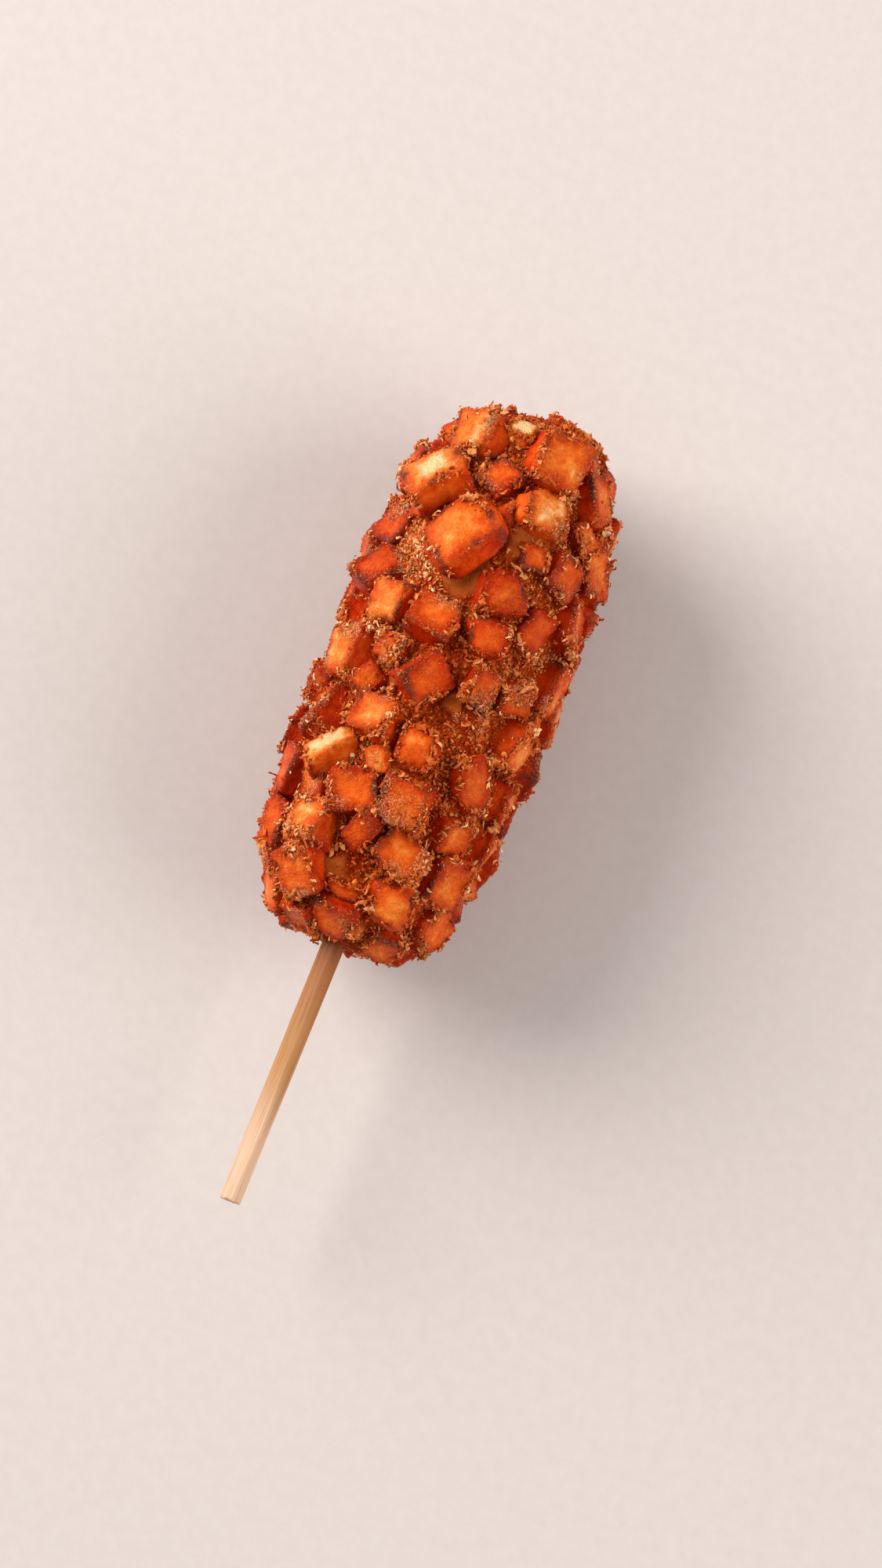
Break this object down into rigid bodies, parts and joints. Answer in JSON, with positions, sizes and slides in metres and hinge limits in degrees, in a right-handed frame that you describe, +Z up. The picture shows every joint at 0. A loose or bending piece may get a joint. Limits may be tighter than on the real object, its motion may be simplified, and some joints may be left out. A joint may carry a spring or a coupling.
{
  "type": "corn dog",
  "caption": "Battered sausage on a square bamboo stick, fried in a coat of diced potato and crumbs, lying on its side.",
  "frame": {"origin": "bottom centre of the whole, on the surface it lies on", "axes": "+Y along the stick toward the tip, +Z up through the side that shows"},
  "size_m": [0.065, 0.2206, 0.0629],
  "materials": {
    "batter": "matt",
    "potato": "gloss",
    "stick": "matt"
  },
  "bodies": {
    "root": {"batter": "batter", "potato_cube_01": "potato", "potato_cube_02": "potato", "potato_cube_03": "potato", "potato_cube_04": "potato", "potato_cube_05": "potato", "potato_cube_06": "potato", "potato_cube_07": "potato", "potato_cube_08": "potato", "potato_cube_09": "potato", "potato_cube_10": "potato", "potato_cube_11": "potato", "potato_cube_12": "potato", "potato_cube_13": "potato", "potato_cube_14": "potato", "potato_cube_15": "potato", "potato_cube_16": "potato", "potato_cube_17": "potato", "potato_cube_18": "potato", "potato_cube_19": "potato", "potato_cube_20": "potato", "potato_cube_21": "potato", "potato_cube_22": "potato", "potato_cube_23": "potato", "potato_cube_24": "potato", "potato_cube_25": "potato", "potato_cube_26": "potato", "potato_cube_27": "potato", "potato_cube_28": "potato", "potato_cube_29": "potato", "potato_cube_30": "potato", "potato_cube_31": "potato", "potato_cube_32": "potato", "potato_cube_33": "potato", "potato_cube_34": "potato", "potato_cube_35": "potato", "potato_cube_36": "potato", "potato_cube_37": "potato", "potato_cube_38": "potato", "potato_cube_39": "potato", "potato_cube_40": "potato", "potato_cube_41": "potato", "potato_cube_42": "potato", "potato_cube_43": "potato", "potato_cube_44": "potato", "potato_cube_45": "potato", "potato_cube_46": "potato", "potato_cube_47": "potato", "potato_cube_48": "potato", "potato_cube_49": "potato", "potato_cube_50": "potato", "potato_cube_51": "potato", "potato_cube_52": "potato", "potato_cube_53": "potato", "potato_cube_54": "potato", "potato_cube_55": "potato", "potato_cube_56": "potato", "potato_cube_57": "potato", "potato_cube_58": "potato", "stick": "stick"}
  },
  "joints": []
}
